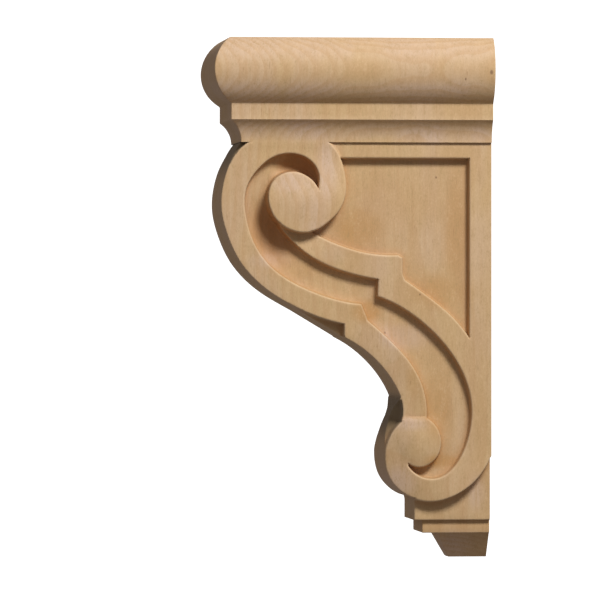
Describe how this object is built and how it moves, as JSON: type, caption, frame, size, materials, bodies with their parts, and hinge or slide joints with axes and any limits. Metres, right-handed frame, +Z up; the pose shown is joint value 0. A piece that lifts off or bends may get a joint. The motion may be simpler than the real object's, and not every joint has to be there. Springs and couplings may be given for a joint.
{
  "type": "carved wooden corbel bracket",
  "caption": "Carved wooden corbel bracket with a moulded cap, an S-scroll with sunk panel on both sides, and a stepped, tapered foot, made to carry a shelf or a counter against a wall.",
  "frame": {"origin": "the middle of the flat back face that lies against the wall", "axes": "+Z up along the wall, +Y into the wall, X along the width; the bracket reaches out along -Y"},
  "size_m": [0.1092, 0.178, 0.33],
  "materials": {
    "hardwood": "bare, sanded, unfinished pale hardwood with an upright grain"
  },
  "bodies": {
    "root": {"corbel": "hardwood"}
  },
  "joints": []
}
